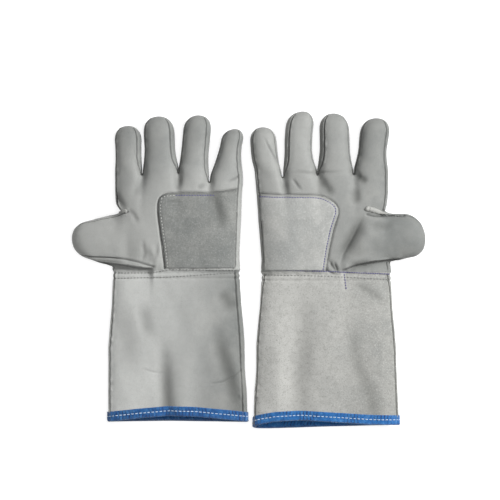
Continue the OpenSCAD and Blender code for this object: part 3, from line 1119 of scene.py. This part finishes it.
def leather(name, tone, warm, grain, nap, speckle, rough, fibre=1300, fade=None):
    """Grey leather: mottled, finely grained, with painted shade in its folds and darker seams that are partly dark
    joints and partly painted shade.

    grain is the depth of the pebbled grain and nap that of the raised fibres, in millimetres.
    fade is (most, axis, start, end): the leather is lighter by most below start along an axis
    (0 for X, 1 for Y), and less and less so up to end."""
    n = Nodes(name)
    rest = n.attribute("rest", "Vector")
    clouds = n.noise(rest, 28, 4, 0.6)
    blotch = n.noise(rest, 150, 5, 0.65)
    fine = n.noise(rest, fibre, 3, 0.7)
    pebble = n.cells(rest, 1150, "DISTANCE_TO_EDGE")
    colour = n.mix(n.ramp(clouds, 0.34, 0.66), grey(tone - 7, warm - 1), grey(tone + 7, warm))
    # fade paints light: the leather is lighter towards one side, as the light falls across it
    if fade:
        most, axis, start, end = fade
        place = n.add("ShaderNodeSeparateXYZ", {"Vector": rest}).outputs[axis]
        colour = n.mix(n.ramp(place, start, end, 1, 0), colour, grey(tone + most, warm))
    layers = [
        (n.ramp(blotch, 0.45, 0.75, 0, speckle * 0.4), -26),
        (n.ramp(fine, 0.54, 0.7, 0, speckle), 26),
        (n.ramp(fine, 0.46, 0.3, 0, speckle * 0.8), -26),
        (n.ramp(pebble, 0, 0.09, 0.3, 0), -30),
        # painted shade: folds, under the thumb's edge, the fingers' turned-away sides and along the patch's edges
        (n.ramp(n.attribute("painted_shade"), 0, 1, 0, 0.62), -45),
        # darker seams: partly dark sewn joints, partly painted shade in their grooves and beside the patch's raised
        # edge
        (n.ramp(n.attribute("seam"), 0.6, 1, 0, 0.85), -75),
    ]
    for share, shift in layers:
        colour = n.mix(share, colour, grey(tone + shift, warm))
    height = n.math("MULTIPLY", n.ramp(pebble, 0, 0.16), grain)
    height = n.math("ADD", height, n.math("MULTIPLY", fine, nap))
    height = n.math("ADD", height, n.math("MULTIPLY", blotch, 0.12))
    n.bump(height, MM, 0.6)
    return n.finish(colour, n.ramp(blotch, 0.3, 0.7, rough - 0.07, rough + 0.07), 0.12, 0.3)


def fleece(name):
    """Cream brushed pile of the lining."""
    n = Nodes(name)
    rest = n.attribute("rest", "Vector")
    tuft = n.noise(rest, 420, 5, 0.7)
    colour = n.mix(n.ramp(tuft, 0.3, 0.7), grey(150, 6), grey(214, 5))
    n.bump(tuft, MM * 1.2, 0.8)
    return n.finish(colour, 0.95, 0.5, 0.1)


def tape(name, deep, pale):
    """Blue woven binding tape: fine ribs across it and a twill in each, with painted highlights on the rib crests and
    painted shade in its gathers.
    """
    n = Nodes(name)
    rest = n.attribute("rest", "Vector")
    ribs = n.slant(2 * math.pi / 1.1, 0)
    twill = n.slant(6, 9)
    worn = n.noise(rest, 190, 5, 0.7)
    # the pale rib crests are partly the weave's own colour and partly a painted highlight
    colour = n.mix(n.ramp(ribs, -1, 1), deep, pale)
    colour = n.mix(n.ramp(twill, -0.2, 1, 0, 0.25), colour, pale)
    patchy = n.ramp(n.noise(rest, 60, 2), 0.4, 0.6)
    # painted shade in the tape's gathers, darkened nearly to black
    painted_gather_shade = n.math("MULTIPLY", n.ramp(n.slant(2 * math.pi / 3.9, 0), 0.1, 1), patchy)
    dark = (0.001, 0.012, 0.065, 1)
    colour = n.mix(n.math("MULTIPLY", painted_gather_shade, 0.95), colour, dark)
    colour = n.mix(n.ramp(worn, 0.5, 0.34, 0, 0.3), colour, dark)
    colour = n.mix(n.ramp(worn, 0.5, 0.68, 0, 0.35), colour, (0.08, 0.22, 0.4, 1))
    height = n.math("ADD", ribs, n.math("MULTIPLY", twill, 0.5))
    n.bump(height, MM * 0.16, 0.8)
    return n.finish(colour, 0.75, 0.25, 0.25)


def thread(name, dark, light):
    """Twisted sewing thread."""
    n = Nodes(name)
    twist = n.slant(9, 2 * math.pi)
    colour = n.mix(n.ramp(twist, -1, 1), dark, light)
    n.bump(twist, MM * 0.08, 0.8)
    return n.finish(colour, 0.6, 0.2, 0.3)


def floor_material():
    n = Nodes("pale_floor")
    place = n.add("ShaderNodeTexCoord").outputs["Object"]
    tone = n.ramp(n.noise(place, 3, 2), 0.3, 0.7, 0.0, 1.0)
    colour = n.mix(tone, (0.37, 0.37, 0.37, 1), (0.39, 0.39, 0.39, 1))
    n.shader.inputs["Emission Color"].default_value = (1, 1, 1, 1)
    n.shader.inputs["Emission Strength"].default_value = BRIGHT_FLOOR
    return n.finish(colour, 0.9, 0.0, 0.1)


# Each fade tuple paints light: a panel lighter towards one side, as the light falls across it
MATERIALS = {
    "left": {
        "palm": leather("left_palm_leather", 106, 0, 0.10, 0.03, 0.15, 0.62, 1300,
                        (24, 1, 0.06, 0.15)),
        "cuff": leather("left_cuff_leather", 97, 0, 0.10, 0.05, 0.2, 0.66, 1300,
                        (64, 0, -0.14, -0.015)),
        "suede": leather("left_suede", 101, 0, 0.04, 0.35, 0.55, 0.9, 520),
    },
    "right": {
        "palm": leather("right_palm_leather", 96, 0, 0.10, 0.05, 0.2, 0.64, 1300,
                        (25, 0, 0.05, 0.155)),
        "cuff": leather("right_cuff_leather", 116, 1, 0.05, 0.3, 0.7, 0.85, 560,
                        (38, 0, 0.025, 0.14)),
        "suede": leather("right_suede", 131, 0.5, 0.04, 0.35, 0.5, 0.9, 520),
    },
}
WELT_LEATHER = leather("welt_leather", 120, 1, 0.10, 0.05, 0.15, 0.6)
FLEECE = fleece("fleece")
TAPES = {
    "left": tape("left_tape", (0.001, 0.028, 0.115, 1), (0.005, 0.088, 0.26, 1)),
    "right": tape("right_tape", (0.001, 0.036, 0.145, 1), (0.005, 0.115, 0.33, 1)),
}
# Each thread's material, its slot and how much of a stitch's pitch shows
THREADS = {
    "white": (thread("white_thread", (0.2, 0.28, 0.4, 1), (0.48, 0.56, 0.66, 1)),
              "thread_white", 0.7),
    "violet": (thread("violet_thread", (0.016, 0.013, 0.07, 1), (0.055, 0.045, 0.19, 1)),
               "thread_violet", 0.8),
    "grey": (thread("grey_thread", grey(105), grey(172)), "thread_white", 0.52),
    "dark": (thread("dark_thread", grey(62), grey(118)), "thread_white", 0.52),
}


# ---------- pieces ----------
def piece(glove, name, points, faces, material, slot, values=None, normals=None):
    """A smooth mesh object from glove millimetres, with its resting place kept for materials."""
    if glove.sign < 0:
        faces = [f[::-1] for f in faces]
    points = np.array(points, float)
    points[:, 2] = np.maximum(points[:, 2], FLOOR_GAP)
    world = glove.world(points)
    obj = new_object(f"{glove.side}_{name}", world, faces)
    mesh = obj.data
    mesh.materials.append(material)
    mesh.polygons.foreach_set("use_smooth", np.ones(len(mesh.polygons), bool))
    for key, value in {"rest": world, **(values or {})}.items():
        store(mesh, key, "FLOAT" if value.ndim == 1 else "FLOAT_VECTOR", "POINT", value)
    if normals is not None:
        mesh.normals_split_custom_set_from_vertices((normals * [glove.sign, 1, 1]).tolist())
    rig.slot(obj, slot)
    return obj


def cut(faces, wanted):
    """The wanted faces alone: which points they use, and the faces renumbered."""
    chosen = faces[wanted]
    used, renumbered = np.unique(chosen, return_inverse=True)
    return used, renumbered.reshape(chosen.shape)


# Where the bend of a part starts and ends on the glove, as (u, v)
CUFF_BEND = ((0, 0), (0, -26))
FINGER_BEND = ((0, 112), (0, 138))
THUMB_BENDS = {"left": ((-73, 8), (-100, 16)), "right": ((-73, 40), (-96, 40))}


def attach(glove, obj, part):
    """Bends a piece of a finger, thumb or cuff away from the hand, or rides it on the hand."""
    side = glove.side
    if part == "hand":
        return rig.ride(obj, f"{side}_hand")
    bends = {"cuff": CUFF_BEND, "thumb": THUMB_BENDS[side]}
    ends = [(*place, BEND_HEIGHT) for place in bends.get(part, FINGER_BEND)]
    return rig.blend(obj, f"{side}_hand", f"{side}_{part}", *map(tuple, glove.world(ends)))


PANEL_NODES = {
    ("hand", "front"): ("palm", "finger_webs", "thumb_gussets"),
    ("hand", "back"): ("hand_back",),
    ("cuff", "front"): ("cuff_front",),
    ("cuff", "back"): ("cuff_back",),
    ("thumb", "front"): ("thumb_front",),
    ("thumb", "back"): ("thumb_back",),
}
for finger in FINGERS:
    PANEL_NODES[finger, "front"] = (f"{finger}_front",)
    PANEL_NODES[finger, "back"] = (f"{finger}_back",)
    PANEL_NODES[finger, "sides"] = (f"{finger}_sidewalls",)


def leather_panels(glove, skin):
    """Cuts the skin into its leather panels."""
    normals = skin.normals()
    for (part, panel), nodes in PANEL_NODES.items():
        used, faces = cut(skin.faces, skin.tags == tag_of(part, panel))
        kind, slot = ("cuff", "cuff_leather") if part == "cuff" else ("palm", "grain_leather")
        # seam weights, and the painted shade that darkens the leather
        values = {"seam": skin.seams[used], "painted_shade": skin.painted_shades[used]}
        obj = piece(glove, f"{part}_{panel}_leather", skin.points[used], faces,
                    MATERIALS[glove.side][kind], slot, values, normals[used])
        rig.replaces(obj, *[f"{glove.side}_{node}" for node in nodes])
        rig.padded(obj, fill=0.5)
        attach(glove, obj, part)


def linings(glove, skin, lining):
    """The insulating lining of each part, a little inside the leather."""
    parts = lining.tags // 10
    deep = np.full(len(lining.points), LINER_DEPTH)
    deep[lining.faces[parts >= PARTS.index("thumb")]] = LINER_DEPTH * DIGIT_LINER
    points = lining.points - lining.normals() * deep[:, None]
    least = LINER_DEPTH * 0.6
    for _ in range(2):
        inside = np.ones(len(points), bool)
        for i, point in enumerate(points):
            place, normal, _, _ = skin.tree.find_nearest(Vector(point))
            inside[i] = (Vector(point) - place).dot(normal) < -least * 0.7
            if (Vector(point) - place).dot(normal) > -least:
                points[i] = place - normal * least
    for part in PARTS:
        wanted = (parts == PARTS.index(part)) & inside[lining.faces].all(axis=1)
        used, faces = cut(lining.faces, wanted)
        obj = piece(glove, f"{part}_lining", points[used], faces[:, ::-1], FLEECE, "fleece")
        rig.replaces(obj, f"{glove.side}_{part}_liner")
        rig.padded(obj, fill=0.4)
        attach(glove, obj, part)


def hem_line(glove, count=320):
    """u, z and v of the points of the hem, and the middle and half sizes of its ring."""
    edge, _, far_edge = glove.edges(glove.shape["hem"])
    centre, half_w = (edge + far_edge) / 2, (far_edge - edge) / 2
    half, square = glove.thickness(glove.shape["hem"])
    ring = superellipse(half_w, half, square, 180, -180, count)[:-1]
    u, z = ring[:, 0] + centre, ring[:, 1] + half
    return u, z, glove.hem_at(u, z), centre, half_w, half


def around_hem(glove, skin, height):
    """Points and normals of the cuff's surface all round, at a height above its hem."""
    u, z, hem, centre, half_w, half = hem_line(glove)
    inner = np.clip(u, centre - half_w + 12, centre + half_w - 12)
    return skin.hits([((a, h + height, half), (b - a, 0, c - half))
                      for a, b, c, h in zip(inner, u, z, hem)])


def loop_faces(rows, cols, ring=True):
    """Quads of a grid of points whose columns close into a ring."""
    last = cols if ring else cols - 1
    return [(r * cols + c, r * cols + (c + 1) % cols, (r + 1) * cols + (c + 1) % cols,
             (r + 1) * cols + c) for r in range(rows - 1) for c in range(last)]


# Section of the tape: height above the hem and distance out from the leather. It is sunk a
# little at HEM_STITCHES, where its stitches run.
HEM_STITCHES = 5.2
TAPE_SECTION = [
    (TAPE_HEIGHT, -0.2), (TAPE_HEIGHT, 0.7), (TAPE_HEIGHT - 0.7, 1.15), (8, 1.1), (6.2, 1.0),
    (HEM_STITCHES, 0.75), (4.2, 1.0), (2, 1.15), (0.6, 1.2), (-0.5, 0.7), (-0.9, -0.6),
    (-0.9, -2.4), (-0.3, -3.8), (2, -4.3), (6, -4.2), (TAPE_HEIGHT, -4),
]


def binding(glove, skin):
    """Tape folded over the hem: down the outside, round the edge and up the inside."""
    rows, weave = [], []
    run = 0.0
    for i, (height, offset) in enumerate(TAPE_SECTION):
        base, normals = around_hem(glove, skin, max(height, 0.4))
        outward = unit(normals * [1, 0, 1])
        row = base + outward * (offset + 0.3 * waves(base, 5, 77))[:, None]
        row[:, 1] += min(0, height - 0.4)
        if i:
            run += math.dist(TAPE_SECTION[i], TAPE_SECTION[i - 1])
        rows.append(row)
        weave.append(np.stack([travelled(row), np.full(len(row), run), np.zeros(len(row))], 1))
    points = np.concatenate(rows)
    points[:, 2] = np.maximum(points[:, 2], 0.1)
    faces = [f[::-1] for f in loop_faces(len(rows), len(rows[0]))]
    obj = piece(glove, "hem_tape", points, faces, TAPES[glove.side], "binding",
                {"weave": np.concatenate(weave)})
    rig.replaces(obj, f"{glove.side}_cuff_binding")
    attach(glove, obj, "cuff")


# ---------- sewing ----------
# Rings of a stitch: how far along its length, how high as a share of its arch, and how thick
STITCH_RINGS = [(-0.5, -0.5, 0.35), (-0.46, -0.05, 0.85), (-0.2, 0.9, 1), (0.2, 1.0, 1),
                (0.46, -0.05, 0.85), (0.5, -0.5, 0.35)]
STITCH_SIDES = np.radians(np.arange(0, 360, 60))
STITCH_ARCH = 0.3


def sewn(glove, name, places, normals, pitch, kind, part, radius=0.46):
    """A row of stitches along a line on the surface: short twisted threads that dip at each end."""
    material, slot, shown = THREADS[kind]
    run = travelled(places)
    count = max(2, int(run[-1] / pitch))
    rings, around = len(STITCH_RINGS), len(STITCH_SIDES)
    ends = [tuple(range(around))[::-1], tuple(range((rings - 1) * around, rings * around))]
    stitch_faces = loop_faces(rings, around) + ends
    points, weave, faces = [], [], []
    for k in range(count):
        middle = (k + 0.5) * run[-1] / count
        faces += [tuple(len(points) + j for j in face) for face in stitch_faces]
        for share, rise, thick in STITCH_RINGS:
            at = middle + share * pitch * shown
            place, up = sampled(places, run, at), unit(sampled(normals, run, at))
            way = unit(np.cross(sampled(places, run, at + 0.2) - place, up))
            centre = place + up * (rise * STITCH_ARCH)
            for a in STITCH_SIDES:
                turn = way * math.cos(a) * 1.15 + up * math.sin(a)
                points.append(centre + turn * radius * thick)
                weave.append((share * pitch, a / (2 * math.pi), 0))
    obj = piece(glove, name, points, faces, material, slot, {"weave": np.array(weave, float)})
    attach(glove, obj, part)


def palm_patch(glove, skin):
    """Suede patch over the heel of the palm, with raised cut edges, painted shade on the skirt under them and along
    its sewn edges.
    """
    shape = PATCHES[glove.side]
    cells = 66

    def side(line):
        fine = fine_line(line, 0.5)
        return fine[np.linspace(0, len(fine) - 1, cells + 1).round().astype(int)]

    bottom = side([shape["inner"][0], shape["outer"][0]])
    grid = stretched(side(shape["inner"]), side(shape["outer"]), bottom, side(shape["top"]))
    places, normals = skin.below(grid.reshape(-1, 2))
    border = np.zeros((cells + 1, cells + 1), bool)
    border[[0, -1]] = border[:, [0, -1]] = True
    border = border.reshape(-1)
    lift = PATCH_THICK + 0.12 * waves(places, 12, 8)
    sewn_in = line_distance(places[:, :2], shape["inner"] + shape["top"][1:])[0]
    lift -= 0.7 * np.exp(-((sewn_in - SEWN_IN) / 0.9) ** 2)
    points = places + normals * np.where(border, lift - 0.35, lift)[:, None]
    faces = loop_faces(cells + 1, cells + 1, ring=False)
    index = np.arange((cells + 1) ** 2).reshape(cells + 1, cells + 1)
    rim = [*index[0], *index[1:, -1], *index[-1, -2::-1], *index[-2:0:-1, 0]]
    count = len(points)
    skirt = places[rim] + normals[rim] * -0.3
    points = np.concatenate([points, skirt])
    for i, a in enumerate(rim):
        j = (i + 1) % len(rim)
        faces.append((a, count + i, count + j, rim[j]))
    # the skirt under the cut edge is painted darkest, as shade
    dark = np.zeros(len(points))
    dark[count:] = 1
    # painted shade along the sewn edges, beside the raised edge, joined with the skin's painted shade under the patch
    painted_shade_weight = 0.8 * np.exp(-(np.concatenate([sewn_in, sewn_in[rim]]) / 1.6) ** 2)
    obj = piece(glove, "suede_patch", points, faces, MATERIALS[glove.side]["suede"], "suede",
                {"seam": dark, "painted_shade": np.maximum(skin.shade_at(points), painted_shade_weight)})
    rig.replaces(obj, f"{glove.side}_palm_patch")
    attach(glove, obj, "hand")


# Gathered ends of the leather at the thumb's crotch: (u, v) line and radius at its two ends
WELTS = {
    "left": ([(-70, 63), (-63, 65), (-58, 67.4), (-55.8, 64.8)], 0.9, 1.5),
    "right": ([(-73, 66), (-60, 68), (-52, 70.6), (-46, 72), (-44, 69.6)], 1.0, 2.4),
}


def gathered_welt(glove, skin):
    """The rolled, gathered edge where the palm and the thumb's back meet."""
    line, thin, thick = WELTS[glove.side]
    fine = fine_line(line, 0.4)
    places, _ = skin.below(fine)
    for _ in range(8):
        places[1:-1] = (places[:-2] + places[2:]) / 2
    count = len(places)
    run = np.linspace(0, 1, count)
    across = unit(np.cross(np.gradient(places, axis=0), [0, 0, 1]))
    sides = np.radians(np.arange(0, 360, 20))
    closing = np.sqrt(np.clip(1 - (2 * run - 1) ** 8, 0, 1))
    radius = (thin + (thick - thin) * smooth(run * 1.3)) * closing
    up = np.array([0, 0, 1])
    ring = across[:, None] * np.cos(sides)[:, None] * 1.3 + up * np.sin(sides)[:, None]
    pleats = np.sin(run * 34 + 2 * np.sin(run * 9))[:, None]
    gathers = 1 + 0.1 * pleats * np.clip(np.sin(sides), 0, 1)
    points = places[:, None] + ring * (radius[:, None] * gathers)[..., None]
    points = points.reshape(-1, 3) + [0, 0, 0.2]
    points += 0.2 * waves(points, 3.5, 91)[:, None]
    faces = loop_faces(count, len(sides))
    none = np.zeros(len(points))
    obj = piece(glove, "crotch_welt", points, faces, WELT_LEATHER, "grain_leather",
                {"seam": none, "painted_shade": none})
    attach(glove, obj, "hand")


# Rows of stitches: (u, v) line, how many times SEWN_IN it is moved in, pitch, thread and part
STITCH_ROWS = {
    "left": {
        "patch_top": ([(-1, 86.6), (44, 86.6)], 1, 2.9, "violet", "hand"),
        "patch_side": (PATCHES["left"]["inner"], 1, 3.6, "grey", "hand"),
        "patch_corner": (PATCHES["left"]["top"][:3], 1, 3.6, "grey", "hand"),
        "patch_foot": ([(16, 3.6), (40, 4.4), (62, 6)], 0, 3.0, "violet", "hand"),
        "wrist_row_1": ([(-70, -4), (-28, -4), (-8, 0), (70, -0.6)], 0, 3.8, "dark", "cuff"),
        "wrist_row_2": ([(-70, -10.2), (-10, -8.6), (70, -3.6)], 0, 3.8, "dark", "cuff"),
    },
    "right": {
        "patch_edge": (PATCHES["right"]["inner"] + PATCHES["right"]["top"][1:], 1, 2.9,
                       "violet", "hand"),
        "wrist_row_1": ([(-72, -2.6), (2, 0.6), (70, 2.4)], 0, 2.7, "violet", "hand"),
        "wrist_row_2": ([(-70, -8.6), (2, -5), (70, -3.4)], 0, 3.8, "dark", "cuff"),
        "thread_tail": ([(-20, -2), (-22.5, -20)], 0, 3.0, "violet", "cuff"),
    },
}
ON_LEATHER = 0.15         # how far the stitches lie above the leather under them
ON_PATCH = 0.75
ON_TAPE = 0.85


def stitching(glove, skin):
    """Every visible row of stitches."""
    for name, (line, shift, pitch, kind, part) in STITCH_ROWS[glove.side].items():
        places, normals = skin.below(shifted(fine_line(line), shift * SEWN_IN))
        places = places + normals * (ON_PATCH if shift else ON_LEATHER)
        sewn(glove, name, places, normals, pitch, kind, part)
    places, normals = around_hem(glove, skin, HEM_STITCHES)
    places = np.concatenate([places, places[:1]])
    normals = np.concatenate([normals, normals[:1]])
    places = places + normals * ON_TAPE
    places[:, 2] = np.maximum(places[:, 2], 0.6)
    sewn(glove, "hem_stitches", places, normals, 4.6, "white", "cuff", radius=0.4)


# ---------- stage ----------
# In widths of the pair: how far the camera is, how much it sees and how it is shifted
CAMERA_DISTANCE = 7.5
CAMERA_SEES = 1.415
CAMERA_SHIFT = (0.0032, 0.058)
FLOOR_SIZE = 30
SENSOR = 36
BRIGHT_FLOOR = 0.72       # how much the floor glows, so that it is nearly white
WORLD_LIGHT = 0.28


def stage():
    """Camera, floor, lights and world."""
    scene = bpy.context.scene
    box_low, box_high = (Vector(corner) for corner in CAD_BOX)
    middle = (box_low + box_high) / 2
    width = box_high.x - box_low.x

    camera_data = bpy.data.cameras.new("camera")
    camera = bpy.data.objects.new("camera", camera_data)
    scene.collection.objects.link(camera)
    scene.camera = camera
    camera_data.sensor_width = SENSOR
    camera_data.lens = SENSOR * CAMERA_DISTANCE / CAMERA_SEES
    camera.location = middle + Vector((*CAMERA_SHIFT, CAMERA_DISTANCE)) * width

    place = (middle.x, middle.y, box_low.z - 0.0004)
    bpy.ops.mesh.primitive_plane_add(size=FLOOR_SIZE * width, location=place)
    floor = bpy.context.object
    floor.name = "floor"
    floor.data.materials.append(floor_material())
    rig.stage(floor)

    def soft_light(name, place, size, power):
        data = bpy.data.lights.new(name, "AREA")
        data.shape = "DISK"
        data.size = size
        data.energy = power
        light = bpy.data.objects.new(name, data)
        light.location = middle + Vector(place)
        light.rotation_euler = (middle - light.location).to_track_quat("-Z", "Y").to_euler()
        scene.collection.objects.link(light)

    soft_light("key", (1.5, 0.7, 1.25), 0.6, 82)
    soft_light("top", (0.1, 0.0, 2.2), 0.9, 30)
    world = bpy.data.worlds.new("studio")
    scene.world = world
    world.use_nodes = True
    background = world.node_tree.nodes["Background"]
    background.inputs["Color"].default_value = (1, 1, 1, 1)
    background.inputs["Strength"].default_value = WORLD_LIGHT
    scene.view_settings.view_transform = "Standard"


# ---------- build ----------
stage()
for side in ("left", "right"):
    glove = Glove(side)
    skin, lining = make_skin(glove)
    leather_panels(glove, skin)
    linings(glove, skin, lining)
    binding(glove, skin)
    palm_patch(glove, skin)
    gathered_welt(glove, skin)
    stitching(glove, skin)

boxes = {"cad": CAD_BOX, "visual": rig.bounds()}
with open("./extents.json", "w") as out:
    json.dump({key: [list(corner) for corner in box] for key, box in boxes.items()}, out)
